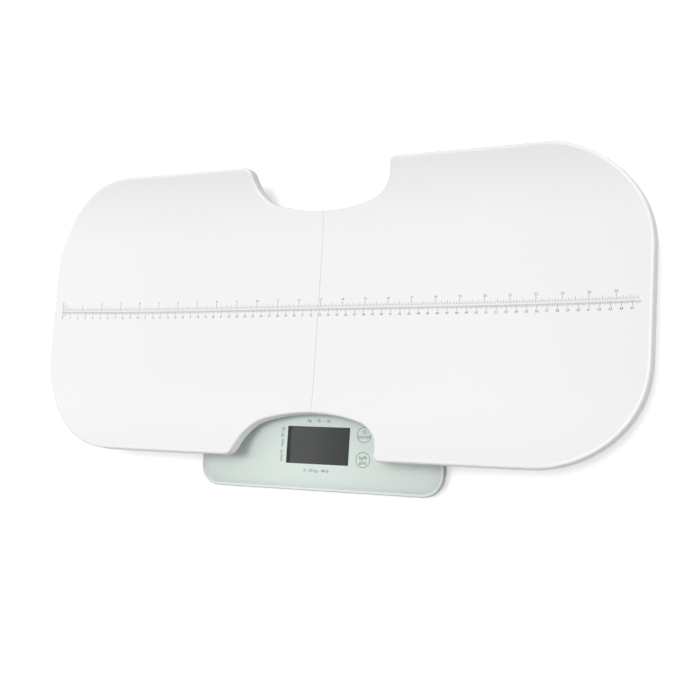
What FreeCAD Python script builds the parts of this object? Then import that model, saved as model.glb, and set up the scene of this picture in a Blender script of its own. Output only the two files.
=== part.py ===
import FreeCAD, Part
import math
import os
import Sketcher
from FreeCAD import Placement, Rotation, Vector

# Digital baby scale: a glass platform on four load cells and a two-part tray that lies on it.
# Origin on the floor under the middle of the whole object, +X along the tray, +Y to its back, +Z up.
# All lengths in millimetres, angles in degrees.

DOC = FreeCAD.newDocument("BabyScale")

SIZES = {
    # tray, measured at the rim
    "tray_length": 680.0,
    "tray_width": 302.0,
    "tray_corner_radius": 101.0,
    "tray_thickness": 3.0,
    "tray_floor_gap": 18.0,         # tray floor's top above the glass
    "tray_end_flat": 170.0,         # the floor is level this far each side of the seam
    "tray_end_rise": 12.3,
    "tray_side_flat": 75.0,         # and this far each side of its long middle line
    "tray_side_rise": 25.0,
    "skirt_depth": 13.0,
    "skirt_flare": 1.2,
    "rim_radius": 2.4,
    # notches in the two long sides
    "notch_depth": 48.0,
    "notch_half_width": 81.0,
    "notch_floor_radius": 190.0,
    "notch_mouth_radius": 7.0,
    "notch_side_straight": 0.6,
    "notch_side_slope": 86.0,
    # seam and the tongues that join the halves
    "seam_gap": 0.3,
    "seam_flange": 3.0,
    "tongue_width": 30.0,
    "tongue_length": 40.0,
    "tongue_thickness": 3.0,
    "tongue_offset": 34.0,
    "tongue_root": 24.0,
    "sleeve_wall": 2.0,
    "slide_clearance": 0.3,
    # ribs, legs and lips under the tray
    "rib_thickness": 2.0,
    "rib_depth": 9.0,
    "long_rib_offset": 62.0,
    "long_rib_end": 300.0,
    "cross_rib_first": 150.0,
    "cross_rib_pitch": 70.0,
    "cross_rib_count": 3.0,
    "cross_rib_half_length": 100.0,
    "leg_offset_along": 95.0,
    "leg_offset_across": 45.0,
    "leg_radius": 14.0,
    "tray_pad_radius": 11.0,
    "tray_pad_thickness": 3.5,
    "tray_pad_recess": 1.5,
    "tray_pad_plug_length": 3.0,
    "root_overlap": 1.0,            # how far legs, tongue and sleeve reach into the floor
    "leg_bore_radius": 9.0,
    "plug_clearance": 0.2,
    "pad_edge": 0.6,
    "lip_thickness": 3.0,
    "lip_length": 50.0,
    "lip_reach": 3.5,               # how far a lip hangs below the top of the glass
    "lip_clearance": 2.0,           # loose enough for a half to lie a little off centre
    # glass platform
    "platform_height": 24.0,
    "glass_size": 280.0,
    "glass_thickness": 6.0,
    "glass_corner_radius": 22.0,
    "glass_bevel": 0.8,
    "glass_overhang": 32.0,         # how far the glass shows in front of the tray
    "print_thickness": 0.2,
    "print_inset": 3.0,
    # corner feet
    "foot_inset": 28.0,
    "mount_radius": 25.0,
    "mount_wall": 2.0,
    "mount_plate": 2.0,
    "mount_boss_radius": 5.5,
    "mount_boss_height": 6.3,
    "mount_foot_gap": 0.5,          # the foot rises into this gap as the cell bends
    "cell_side": 30.0,
    "cell_thickness": 3.0,
    "cell_corner_radius": 4.0,
    "cell_frame": 5.0,
    "cell_slot": 2.0,
    "cell_hole_radius": 1.8,
    "foot_radius": 21.0,
    "foot_bottom": 1.4,
    "foot_edge_round": 1.0,
    "foot_well_radius": 11.0,
    "foot_well_depth": 3.5,
    "foot_pad_radius": 16.0,
    "foot_pad_thickness": 2.2,
    "screw_shank_radius": 1.45,
    "screw_head_radius": 2.8,
    "screw_head_height": 1.6,
    "screw_grip": 3.2,              # thread length in the boss or post
    "thread_clearance": 0.05,
    # electronics housing
    "housing_mount_gap": 3.0,       # housing's side to the foot mount beside it
    "housing_front_inset": 4.0,
    "housing_wall": 2.0,
    "housing_floor": 2.0,
    "housing_corner_radius": 6.0,
    "seal_thickness": 0.5,
    "bay_wall": 1.5,
    # display
    "window_width": 72.0,
    "window_depth": 38.0,
    "window_from_front": 46.0,      # glass front edge to the middle of the window
    "window_to_keys": 51.9,
    "panel_margin": 2.0,
    "panel_thickness": 2.6,
    "panel_gap": 0.2,
    "backlight_end_inset": 1.0,     # backlight's edges inside the window's
    "backlight_side_inset": 2.0,
    "backlight_thickness": 3.0,
    "backlight_board_gap": 2.0,
    "frame_wall": 1.5,
    "frame_clearance": 0.2,
    "connector_thickness": 1.8,
    "connector_end_inset": 3.0,     # strips are this much shorter than the backlight, each end
    "connector_gap": 0.9,
    # main board
    "lead_room": 14.0,              # board's right edge to the housing's wall
    "board_window_margin": 11.8,    # board's left edge past the window's
    "board_frame_margin": 1.3,
    "board_bay_gap": 1.5,
    "board_thickness": 1.6,
    "post_radius": 3.0,
    "post_inset": 4.0,
    "chip_side": 12.0,
    "chip_height": 1.4,
    "socket_width": 5.0,
    "socket_length": 6.0,
    "socket_height": 4.0,
    "socket_pitch": 12.0,
    "key_board_margin": 18.3,       # middle of the keys to the board's right edge
    "key_offset_middle": 0.4,
    "key_pitch": 23.7,
    "key_pad_radius": 6.0,
    "key_pad_gap": 0.3,
    # battery bay
    "cell_can_radius": 5.25,
    "cell_can_length": 43.7,
    "cell_nub_radius": 1.9,
    "cell_nub_length": 0.8,
    "battery_pitch": 12.0,
    "battery_count": 3.0,
    "bay_play": 1.0,
    "battery_floor_gap": 0.25,
    "battery_top_gap": 0.25,
    "spring_gap": 4.0,
    "plate_gap": 1.0,
    "contact_sheet": 0.4,
    "contact_width": 7.0,
    "contact_half_span": 4.5,
    "contact_touch": 0.05,
    "door_clearance": 0.25,
    "door_margin": 1.0,
    "door_tongue": 1.2,
    "door_tongue_height": 0.6,
    "door_grip_height": 0.6,
    "door_grip_width": 16.0,
    "door_grip_thickness": 1.2,
    "door_grip_span": 8.0,
    "door_grip_count": 3.0,
    # load-cell leads
    "lead_radius": 1.0,
    "lead_hole_radius": 1.8,
    "lead_cover_width": 6.0,
    "lead_cover_height": 4.4,
    "lead_cover_wall": 1.2,
    "lead_bend_radius": 8.0,
    "lead_cover_front": 95.0,       # cover's front end, behind the middle of the front foot
    "lead_cover_rear": 45.0,        # cover's rear end, in front of the middle of the rear foot
}


def make_sheet():
    """Write every driving size into the document's spreadsheet, one alias a row."""
    sheet = DOC.addObject("Spreadsheet::Sheet", "Dims")
    for row, (alias, value) in enumerate(SIZES.items(), start=1):
        sheet.set(f"A{row}", alias)
        sheet.set(f"B{row}", str(value))
        sheet.setAlias(f"B{row}", alias)
    DOC.recompute()
    return sheet


SHEET = make_sheet()


class Size:
    """A length that keeps its number together with the spreadsheet expression that gives it."""

    def __init__(self, value, text):
        self.value = value
        self.text = text

    def join(self, other, sign, value):
        return Size(value, f"({self.text} {sign} {text_of(other)})")

    def __add__(self, other):
        return self.join(other, "+", self.value + number_of(other))

    def __sub__(self, other):
        return self.join(other, "-", self.value - number_of(other))

    def __mul__(self, other):
        return self.join(other, "*", self.value * number_of(other))

    def __truediv__(self, other):
        return self.join(other, "/", self.value / number_of(other))

    def __neg__(self):
        return Size(-self.value, f"(0 - {self.text})")


def number_of(size):
    return size.value if isinstance(size, Size) else float(size)


def text_of(size):
    return size.text if isinstance(size, Size) else repr(float(size))


def dim(alias):
    """The Size of one spreadsheet cell."""
    return Size(float(SHEET.get(alias)), f"Dims.{alias}")


def bind(obj, **sizes):
    """Bind properties of an object to sizes."""
    for name, size in sizes.items():
        obj.setExpression(name, text_of(size))


def place(obj, x=0, y=0, z=0, turn=None):
    """Put an object at a bound position, turned by a rotation."""
    position = Vector(number_of(x), number_of(y), number_of(z))
    obj.Placement = Placement(position, turn or Rotation())
    for axis, size in zip("xyz", (x, y, z)):
        if isinstance(size, Size):
            obj.setExpression(f"Placement.Base.{axis}", size.text)
    return obj


def about_z(angle):
    return Rotation(Vector(0, 0, 1), angle)


# ---------------------------------------------------------------- shared levels and places

GLASS_TOP = dim("platform_height")
GLASS_UNDER = GLASS_TOP - dim("glass_thickness")
PRINT_UNDER = GLASS_UNDER - dim("print_thickness")
TRAY_CENTRE = (dim("glass_overhang") - dim("skirt_flare")) / 2
GLASS_FRONT = TRAY_CENTRE - dim("tray_width") / 2 - dim("glass_overhang")
GLASS_MIDDLE = GLASS_FRONT + dim("glass_size") / 2
TRAY_FLOOR = GLASS_TOP + dim("tray_floor_gap")
FOOT_ALONG = dim("glass_size") / 2 - dim("foot_inset")
FOOT_FRONT = GLASS_FRONT + dim("foot_inset")
FOOT_REAR = GLASS_FRONT + dim("glass_size") - dim("foot_inset")
CELL_TOP = PRINT_UNDER - dim("mount_boss_height")
CELL_BOTTOM = CELL_TOP - dim("cell_thickness")
HOUSING_HALF_WIDTH = FOOT_ALONG - dim("mount_radius") - dim("housing_mount_gap")
HOUSING_WIDTH = HOUSING_HALF_WIDTH * 2
BOARD_RIGHT = HOUSING_HALF_WIDTH - dim("housing_wall") - dim("lead_room")
KEY_X = BOARD_RIGHT - dim("key_board_margin")
WINDOW_X = KEY_X - dim("window_to_keys")
WINDOW_MIDDLE = GLASS_FRONT + dim("window_from_front")
PANEL_WIDTH = dim("window_width") + dim("panel_margin") * 2
PANEL_DEPTH = dim("window_depth") + dim("panel_margin") * 2
PANEL_TOP = PRINT_UNDER - dim("panel_gap")
PANEL_UNDER = PANEL_TOP - dim("panel_thickness")
FRAME_WIDTH = PANEL_WIDTH + (dim("frame_clearance") + dim("frame_wall")) * 2
FRAME_DEPTH = PANEL_DEPTH + (dim("frame_clearance") + dim("frame_wall")) * 2
BACKLIGHT_WIDTH = dim("window_width") - dim("backlight_end_inset") * 2
BACKLIGHT_DEPTH = dim("window_depth") - dim("backlight_side_inset") * 2
BACKLIGHT_UNDER = PANEL_UNDER - dim("backlight_thickness")
CONNECTOR_LENGTH = BACKLIGHT_WIDTH - dim("connector_end_inset") * 2
CONNECTOR_OFFSET = (BACKLIGHT_DEPTH + dim("connector_thickness")) / 2 + dim("connector_gap")
BOARD_TOP = BACKLIGHT_UNDER - dim("backlight_board_gap")
BOARD_BOTTOM = BOARD_TOP - dim("board_thickness")
BOARD_LEFT = WINDOW_X - dim("window_width") / 2 - dim("board_window_margin")
BOARD_WIDTH = BOARD_RIGHT - BOARD_LEFT
BOARD_MIDDLE = (BOARD_RIGHT + BOARD_LEFT) / 2
BOARD_DEPTH = FRAME_DEPTH + dim("board_frame_margin") * 2
BAY_HALF_LENGTH = (dim("cell_can_length") + dim("cell_nub_length")
                   + dim("spring_gap") + dim("plate_gap")) / 2
BAY_DEPTH = dim("battery_pitch") * dim("battery_count") + dim("bay_play")
BAY_FRONT = WINDOW_MIDDLE + BOARD_DEPTH / 2 + dim("board_bay_gap") + dim("bay_wall")
BAY_MIDDLE = BAY_FRONT + BAY_DEPTH / 2
HOUSING_FRONT = GLASS_FRONT + dim("housing_front_inset")
HOUSING_REAR = BAY_FRONT + BAY_DEPTH + dim("housing_wall")
HOUSING_DEPTH = HOUSING_REAR - HOUSING_FRONT
HOUSING_MIDDLE = (HOUSING_FRONT + HOUSING_REAR) / 2
HOUSING_HEIGHT = (dim("housing_floor") + dim("battery_floor_gap") + dim("cell_can_radius") * 2
                  + dim("battery_top_gap"))
HOUSING_TOP = PRINT_UNDER - dim("seal_thickness")
HOUSING_BOTTOM = HOUSING_TOP - HOUSING_HEIGHT
HOUSING_FLOOR = HOUSING_BOTTOM + dim("housing_floor")
BATTERY_LEVEL = HOUSING_FLOOR + dim("battery_floor_gap") + dim("cell_can_radius")
DOOR_WIDTH = (BAY_HALF_LENGTH - dim("door_margin")) * 2
DOOR_FRONT = BAY_FRONT + dim("door_margin")
DOOR_TONGUE_LEVEL = HOUSING_BOTTOM + (dim("housing_floor") - dim("door_tongue_height")) / 2
LEAD_LEVEL = (CELL_BOTTOM + CELL_TOP) / 2


# ---------------------------------------------------------------- building blocks

def box(name, x, y, z, length, width, height):
    """A block from its low corner, every size bound."""
    block = DOC.addObject("Part::Box", name)
    bind(block, Length=length, Width=width, Height=height)
    return place(block, x, y, z)


def middle_box(name, middle_y, z, length, width, height, middle_x=0):
    """A block centred in plan on a point."""
    half_length = length / 2
    half_width = width / 2
    return box(name, half_length * -1 + middle_x, half_width * -1 + middle_y, z, length, width, height)


def rod(name, x, y, z, radius, height):
    """An upright cylinder from the middle of its lower face."""
    solid = DOC.addObject("Part::Cylinder", name)
    bind(solid, Radius=radius, Height=height)
    return place(solid, x, y, z)


def rod_along_x(name, x, y, z, radius, length):
    """A lying cylinder that runs along +X from the middle of its first face."""
    solid = DOC.addObject("Part::Cylinder", name)
    bind(solid, Radius=radius, Height=length)
    return place(solid, x, y, z, Rotation(Vector(0, 1, 0), 90))


def fuse(name, parts):
    joined = DOC.addObject("Part::MultiFuse", name)
    joined.Shapes = parts
    joined.Refine = True
    return joined


def cut(name, base, tool):
    result = DOC.addObject("Part::Cut", name)
    result.Base = base
    result.Tool = tool
    result.Refine = True
    return result


def group(name, solids):
    """Several separate solids under one name."""
    compound = DOC.addObject("Part::Compound", name)
    compound.Links = solids
    return compound


def body(name):
    return DOC.addObject("PartDesign::Body", name)


def sketch(owner, name, role="XY_Plane", height=None):
    """A sketch on one of the body's own origin planes."""
    drawing = owner.newObject("Sketcher::SketchObject", name)
    plane = [item for item in owner.Origin.OriginFeatures if item.Role == role][0]
    drawing.AttachmentSupport = [(plane, "")]
    drawing.MapMode = "FlatFace"
    if height is not None:
        drawing.AttachmentOffset = Placement(Vector(0, 0, number_of(height)), Rotation())
        drawing.setExpression("AttachmentOffset.Base.z", text_of(height))
    return drawing


def fix(drawing, kind, where, size):
    """Add a dimensional constraint and bind its value."""
    index = drawing.addConstraint(Sketcher.Constraint(kind, *where, number_of(size)))
    if isinstance(size, Size):
        drawing.setExpression(f"Constraints[{index}]", size.text)


def fix_point(drawing, geometry, end, x, y):
    """Hold one end of a sketch edge at a bound place, on the axes where it is zero."""
    for axis, kind, size in ((-2, "DistanceX", x), (-1, "DistanceY", y)):
        if number_of(size) == 0 and not isinstance(size, Size):
            drawing.addConstraint(Sketcher.Constraint("PointOnObject", geometry, end, axis))
        else:
            fix(drawing, kind, (-1, 1, geometry, end), size)


def polygon(drawing, points):
    """A closed outline of straight edges through bound points."""
    first = drawing.GeometryCount
    count = len(points)
    flat = [Vector(number_of(x), number_of(y), 0) for x, y in points]
    for index in range(count):
        drawing.addGeometry(Part.LineSegment(flat[index], flat[(index + 1) % count]), False)
    for index in range(count):
        following = first + (index + 1) % count
        drawing.addConstraint(Sketcher.Constraint("Coincident", first + index, 2, following, 1))
    for index, (x, y) in enumerate(points):
        fix_point(drawing, first + index, 1, x, y)


def circle(drawing, radius, x=0, y=0):
    index = drawing.addGeometry(
        Part.Circle(Vector(number_of(x), number_of(y), 0), Vector(0, 0, 1), number_of(radius)), False)
    fix_point(drawing, index, 3, x, y)
    fix(drawing, "Radius", (index,), radius)


def rectangle(drawing, low_x, low_y, high_x, high_y):
    polygon(drawing, [(low_x, low_y), (high_x, low_y), (high_x, high_y), (low_x, high_y)])


def rounded_rectangle(drawing, width, depth, radius):
    """A rectangle with round corners, centred on the sketch's origin."""
    a, b, r = number_of(width) / 2, number_of(depth) / 2, number_of(radius)
    first = drawing.GeometryCount
    sides = (((r - a, -b), (a - r, -b)), ((a, r - b), (a, b - r)),
             ((a - r, b), (r - a, b)), ((-a, b - r), (-a, r - b)))
    centres = ((a - r, r - b), (a - r, b - r), (r - a, b - r), (r - a, r - b))
    for quarter, ((start, end), centre) in enumerate(zip(sides, centres), start=-1):
        drawing.addGeometry(Part.LineSegment(Vector(*start, 0), Vector(*end, 0)), False)
        ring = Part.Circle(Vector(*centre, 0), Vector(0, 0, 1), r)
        arc = Part.ArcOfCircle(ring, quarter * math.pi / 2, (quarter + 1) * math.pi / 2)
        drawing.addGeometry(arc, False)
    for index in range(4):
        line = first + 2 * index
        arc = line + 1
        following = first + (2 * index + 2) % 8
        drawing.addConstraint(Sketcher.Constraint("Tangent", line, 2, arc, 1))
        drawing.addConstraint(Sketcher.Constraint("Tangent", arc, 2, following, 1))
    for line in (first, first + 4):
        drawing.addConstraint(Sketcher.Constraint("Horizontal", line))
    for line in (first + 2, first + 6):
        drawing.addConstraint(Sketcher.Constraint("Vertical", line))
    for arc in (first + 3, first + 5, first + 7):
        drawing.addConstraint(Sketcher.Constraint("Equal", first + 1, arc))
    drawing.addConstraint(Sketcher.Constraint("Symmetric", first + 1, 3, first + 5, 3, -1, 1))
    fix(drawing, "Radius", (first + 1,), radius)
    fix(drawing, "DistanceX", (first + 6, 1, first + 2, 1), width)
    fix(drawing, "DistanceY", (first, 1, first + 4, 1), depth)


def pad(owner, drawing, name, length, downwards=False):
    feature = owner.newObject("PartDesign::Pad", name)
    feature.Profile = drawing
    feature.Reversed = downwards
    bind(feature, Length=length)
    return feature


def pocket(owner, drawing, name, depth, upwards=False):
    feature = owner.newObject("PartDesign::Pocket", name)
    feature.Profile = drawing
    feature.Reversed = upwards
    bind(feature, Length=depth)
    return feature


def revolve(owner, drawing, name):
    """Turn a half section, drawn in the XZ plane, about the body's Z axis."""
    feature = owner.newObject("PartDesign::Revolution", name)
    feature.Profile = drawing
    feature.ReferenceAxis = (drawing, ["V_Axis"])
    feature.Angle = 360
    return feature


def turned(name, section):
    """A body turned from a closed half section of (radius, height) points."""
    part = body(name)
    drawing = sketch(part, f"{name}_section", "XZ_Plane")
    polygon(drawing, section)
    revolve(part, drawing, f"{name}_turn")
    return part


def slab(name, width, depth, radius, thickness):
    """A plate with round corners, its lower face on the body's XY plane."""
    part = body(name)
    drawing = sketch(part, f"{name}_outline")
    rounded_rectangle(drawing, width, depth, radius)
    pad(part, drawing, f"{name}_pad", thickness)
    return part


# ---------------------------------------------------------------- glass platform

def cap_faces(shape):
    """Names of the level faces of a plate."""
    names = []
    for index, face in enumerate(shape.Faces, start=1):
        if abs(face.normalAt(0, 0).z) > 0.99:
            names.append(f"Face{index}")
    return names


def glass_platform():
    """Square toughened glass plate with round corners and a ground edge."""
    plate = slab("glass_platform", dim("glass_size"), dim("glass_size"),
                 dim("glass_corner_radius"), dim("glass_thickness"))
    DOC.recompute()
    raw = plate.Tip
    bevel = plate.newObject("PartDesign::Chamfer", "glass_edge")
    bevel.Base = (raw, cap_faces(raw.Shape))
    bind(bevel, Size=dim("glass_bevel"))
    return place(plate, 0, GLASS_MIDDLE, GLASS_UNDER)


def back_print():
    """Coloured print under the glass, short of its edge and open at the display."""
    side = dim("glass_size") - dim("print_inset") * 2
    film = slab("back_print", side, side, dim("glass_corner_radius") - dim("print_inset"),
                dim("print_thickness"))
    opening = sketch(film, "print_window")
    left = WINDOW_X - dim("window_width") / 2
    front = WINDOW_MIDDLE - GLASS_MIDDLE - dim("window_depth") / 2
    rectangle(opening, left, front, left + dim("window_width"), front + dim("window_depth"))
    pocket(film, opening, "print_window_cut", dim("print_thickness"), upwards=True)
    return place(film, 0, GLASS_MIDDLE, PRINT_UNDER)


# ---------------------------------------------------------------- display

def display_panel():
    """Liquid-crystal cell right under the window in the print."""
    return middle_box("display_panel", WINDOW_MIDDLE, PANEL_UNDER, PANEL_WIDTH, PANEL_DEPTH,
                      dim("panel_thickness"), WINDOW_X)


def display_backlight():
    return middle_box("display_backlight", WINDOW_MIDDLE, BACKLIGHT_UNDER, BACKLIGHT_WIDTH,
                      BACKLIGHT_DEPTH, dim("backlight_thickness"), WINDOW_X)


def display_frame():
    """Frame on the board that holds the panel and backlight, open below for the connectors."""
    play = dim("frame_clearance") * 2
    outside = middle_box("frame_block", WINDOW_MIDDLE, BOARD_TOP, FRAME_WIDTH, FRAME_DEPTH,
                         PANEL_TOP - BOARD_TOP, WINDOW_X)
    seat = middle_box("frame_seat", WINDOW_MIDDLE, BACKLIGHT_UNDER, PANEL_WIDTH + play,
                      PANEL_DEPTH + play, PANEL_TOP - BACKLIGHT_UNDER, WINDOW_X)
    slot_depth = CONNECTOR_OFFSET * 2 + dim("connector_thickness") + play
    opening = middle_box("frame_opening", WINDOW_MIDDLE, BOARD_TOP, CONNECTOR_LENGTH + play,
                         slot_depth, PANEL_TOP - BOARD_TOP, WINDOW_X)
    return cut("display_frame", outside, fuse("frame_hollows", [seat, opening]))


def display_connectors():
    """Two striped rubber strips that press the panel's contacts to the board."""
    strips = []
    for side in (-1, 1):
        strips.append(middle_box("connector_strip", WINDOW_MIDDLE + CONNECTOR_OFFSET * side,
                                 BOARD_TOP, CONNECTOR_LENGTH, dim("connector_thickness"),
                                 PANEL_UNDER - BOARD_TOP, WINDOW_X))
    return group("display_connectors", strips)


# ---------------------------------------------------------------- main board

def post_places():
    """Plan positions of the four board posts."""
    half_width = BOARD_WIDTH / 2 - dim("post_inset")
    half_depth = BOARD_DEPTH / 2 - dim("post_inset")
    return [(BOARD_MIDDLE + half_width * across, WINDOW_MIDDLE + half_depth * along)
            for across in (-1, 1) for along in (-1, 1)]


def main_board():
    board = slab("main_board", BOARD_WIDTH, BOARD_DEPTH, dim("board_thickness"),
                 dim("board_thickness"))
    holes = sketch(board, "board_holes")
    half_width = BOARD_WIDTH / 2 - dim("post_inset")
    half_depth = BOARD_DEPTH / 2 - dim("post_inset")
    for across in (-1, 1):
        for along in (-1, 1):
            circle(holes, dim("screw_shank_radius") + dim("thread_clearance"),
                   half_width * across, half_depth * along)
    pocket(board, holes, "board_drilling", dim("board_thickness"), upwards=True)
    return place(board, BOARD_MIDDLE, WINDOW_MIDDLE, BOARD_BOTTOM)


def board_screws():
    """Four pan-head screws that hold the board down on its posts."""
    screws = []
    for x, y in post_places():
        head = rod("board_screw_head", x, y, BOARD_TOP, dim("screw_head_radius"), dim("screw_head_height"))
        shank = rod("board_screw_shank", x, y, BOARD_BOTTOM - dim("screw_grip"),
                    dim("screw_shank_radius"), dim("screw_grip") + dim("board_thickness"))
        screws.append(fuse("board_screw", [head, shank]))
    return group("board_screws", screws)


def controller_chip():
    return middle_box("controller_chip", WINDOW_MIDDLE, BOARD_BOTTOM - dim("chip_height"),
                      dim("chip_side"), dim("chip_side"), dim("chip_height"))


def socket_place(side, row):
    """Middle of a lead socket: side -1 left or 1 right, row -1 front lead or 1 rear lead."""
    x = BOARD_MIDDLE + (BOARD_WIDTH / 2 - dim("post_inset")) * side
    return x, WINDOW_MIDDLE + dim("socket_pitch") / 2 * row


def lead_sockets():
    sockets = []
    for side in (-1, 1):
        for row in (-1, 1):
            x, y = socket_place(side, row)
            sockets.append(middle_box("lead_socket", y, BOARD_TOP, dim("socket_width"),
                                      dim("socket_length"), dim("socket_height"), x))
    return group("lead_sockets", sockets)


def touch_key_pads():
    """Two conductive foam plugs between the board and the printed key rings."""
    pads = []
    for side in (-1, 1):
        y = WINDOW_MIDDLE + dim("key_offset_middle") + dim("key_pitch") / 2 * side
        pads.append(rod("touch_key_pad", KEY_X, y, BOARD_TOP, dim("key_pad_radius"),
                        PRINT_UNDER - BOARD_TOP - dim("key_pad_gap")))
    return group("touch_key_pads", pads)


# ---------------------------------------------------------------- electronics housing

def housing_walls():
    """Open-topped box with round corners."""
    block = slab("housing_block", HOUSING_WIDTH, HOUSING_DEPTH, dim("housing_corner_radius"),
                 HOUSING_HEIGHT)
    hollow = sketch(block, "housing_hollow", height=dim("housing_floor"))
    wall = dim("housing_wall")
    rounded_rectangle(hollow, HOUSING_WIDTH - wall * 2, HOUSING_DEPTH - wall * 2,
                      dim("housing_corner_radius") - wall)
    pocket(block, hollow, "housing_hollow_cut", HOUSING_HEIGHT, upwards=True)
    return place(block, 0, HOUSING_MIDDLE, HOUSING_BOTTOM)


def bay_walls():
    """Walls round the battery bay, which the housing's own rear wall closes."""
    wall = dim("bay_wall")
    height = HOUSING_TOP - HOUSING_FLOOR
    span = BAY_HALF_LENGTH * 2 + wall * 2
    front_middle = BAY_FRONT - wall / 2
    front = middle_box("bay_front", front_middle, HOUSING_FLOOR, span, wall, height)
    sides = []
    for side in (-1, 1):
        sides.append(middle_box("bay_side", BAY_MIDDLE, HOUSING_FLOOR, wall, BAY_DEPTH, height,
                                (BAY_HALF_LENGTH + wall / 2) * side))
    return [front] + sides


def housing_cuts():
    """Door opening with its grooves, screw holes and lead holes."""
    clearance = dim("door_clearance")
    opening_length = HOUSING_REAR - DOOR_FRONT + clearance * 2
    opening_middle = DOOR_FRONT - clearance + opening_length / 2
    opening = middle_box("door_opening", opening_middle, HOUSING_BOTTOM, DOOR_WIDTH + clearance * 2,
                         opening_length, dim("housing_floor") + clearance)
    groove = middle_box("door_groove", opening_middle, DOOR_TONGUE_LEVEL - clearance,
                        DOOR_WIDTH + (dim("door_tongue") + clearance) * 2, opening_length,
                        dim("door_tongue_height") + clearance * 2)
    cuts = [opening, groove]
    for x, y in post_places():
        cuts.append(rod("post_hole", x, y, BOARD_BOTTOM - dim("screw_grip"),
                        dim("screw_shank_radius") + dim("thread_clearance"), dim("screw_grip")))
    reach = dim("housing_wall") * 3
    for side in (-1, 1):
        for y in (FOOT_FRONT, WINDOW_MIDDLE + dim("socket_pitch") / 2):
            start = HOUSING_HALF_WIDTH * side - reach / 2
            cuts.append(rod_along_x("lead_hole", start, y, LEAD_LEVEL, dim("lead_hole_radius"), reach))
    return cuts


def electronics_housing():
    """White box under the glass that holds the board, display and batteries."""
    posts = [rod("board_post", x, y, HOUSING_FLOOR, dim("post_radius"), BOARD_BOTTOM - HOUSING_FLOOR)
             for x, y in post_places()]
    solid = fuse("housing_solid", [housing_walls()] + bay_walls() + posts)
    return cut("electronics_housing", solid, fuse("housing_cuts", housing_cuts()))


def housing_seal():
    """Foam ring between the housing's rim and the printed glass."""
    ring = body("housing_seal")
    outline = sketch(ring, "seal_outline")
    wall = dim("housing_wall")
    rounded_rectangle(outline, HOUSING_WIDTH, HOUSING_DEPTH, dim("housing_corner_radius"))
    rounded_rectangle(outline, HOUSING_WIDTH - wall * 2, HOUSING_DEPTH - wall * 2,
                      dim("housing_corner_radius") - wall)
    pad(ring, outline, "seal_pad", dim("seal_thickness"))
    return place(ring, 0, HOUSING_MIDDLE, HOUSING_TOP)


def battery_door():
    """Sliding cover, flush with the housing's underside, with a tongue along each side."""
    door = body("battery_door")
    section = sketch(door, "door_section", "XZ_Plane")
    half = DOOR_WIDTH / 2
    low = DOOR_TONGUE_LEVEL - HOUSING_BOTTOM
    high = low + dim("door_tongue_height")
    tip = half + dim("door_tongue")
    top = dim("housing_floor")
    right = [(half, 0), (half, low), (tip, low), (tip, high), (half, high), (half, top)]
    left = [(-x, z) for x, z in reversed(right)]
    polygon(section, right + left)
    pad(door, section, "door_plate", HOUSING_REAR - DOOR_FRONT)
    grip = sketch(door, "door_grip")
    rear = -dim("door_grip_span") / 2
    rectangle(grip, -dim("door_grip_width") / 2, rear - dim("door_grip_thickness"),
              dim("door_grip_width") / 2, rear)
    first = pad(door, grip, "door_grip_pad", dim("door_grip_height"), downwards=True)
    ribs = door.newObject("PartDesign::LinearPattern", "door_grips")
    ribs.Originals = [first]
    ribs.Direction = (grip, ["V_Axis"])
    ribs.Reversed = True
    bind(ribs, Length=dim("door_grip_span"), Occurrences=dim("door_grip_count"))
    door.Tip = ribs
    return place(door, 0, HOUSING_REAR, HOUSING_BOTTOM)


# ---------------------------------------------------------------- batteries

def battery_rows():
    """Row number, place across the bay and direction of the positive end of each battery."""
    count = int(dim("battery_count").value)
    for row in range(count):
        yield row, BAY_MIDDLE + dim("battery_pitch") * (row - (count - 1) / 2), 1 - 2 * (row % 2)


def batteries():
    """Slim cells that lie along X, every other one turned round."""
    radius = dim("cell_can_radius")
    nub_radius = dim("cell_nub_radius")
    can = dim("cell_can_length")
    nub = can + dim("cell_nub_length")
    cells = []
    for row, y, way in battery_rows():
        cell = turned(f"battery_{row + 1}", [(0, 0), (radius, 0), (radius, can), (nub_radius, can),
                                             (nub_radius, nub), (0, nub)])
        start = (dim("spring_gap") - BAY_HALF_LENGTH) * way
        cells.append(place(cell, start, y, BATTERY_LEVEL, Rotation(Vector(0, 1, 0), 90 * way)))
    return cells


def contact(name, outline, x, y, way):
    """Bent strip contact that stands against an end wall of the bay."""
    strip = body(name)
    drawing = sketch(strip, f"{name}_outline")
    polygon(drawing, outline)
    pad(strip, drawing, f"{name}_pad", dim("contact_width"))
    low = BATTERY_LEVEL - dim("contact_width") / 2
    return place(strip, x, y, low, about_z(0 if way > 0 else 180))


def battery_contacts():
    """A folded spring at each negative end and a dimpled plate at each positive end."""
    sheet = dim("contact_sheet")
    edge = dim("contact_half_span")
    reach = dim("spring_gap") - dim("contact_touch")
    inner = reach - sheet
    tip = sheet * 1.25
    spring = [(0, -edge), (sheet, -edge), (sheet, edge - sheet * 2.5), (inner, tip - sheet / 2),
              (inner, sheet / 2 - tip), (sheet * 2.5, sheet * 3.5 - edge), (sheet * 3, sheet * 2.5 - edge),
              (reach, -tip), (reach, tip), (sheet, edge - sheet), (sheet, edge), (0, edge)]
    push = dim("plate_gap") - dim("contact_touch")
    nub = dim("cell_nub_radius") / 2
    plate = [(0, -edge), (sheet, -edge), (sheet, -nub - sheet), (push, -nub), (push, nub),
             (sheet, nub + sheet), (sheet, edge), (0, edge)]
    springs, plates = [], []
    for _, y, way in battery_rows():
        springs.append(contact("spring_contact", spring, -BAY_HALF_LENGTH * way, y, way))
        plates.append(contact("plate_contact", plate, BAY_HALF_LENGTH * way, y, -way))
    return [group("battery_spring_contacts", springs), group("battery_plate_contacts", plates)]


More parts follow.
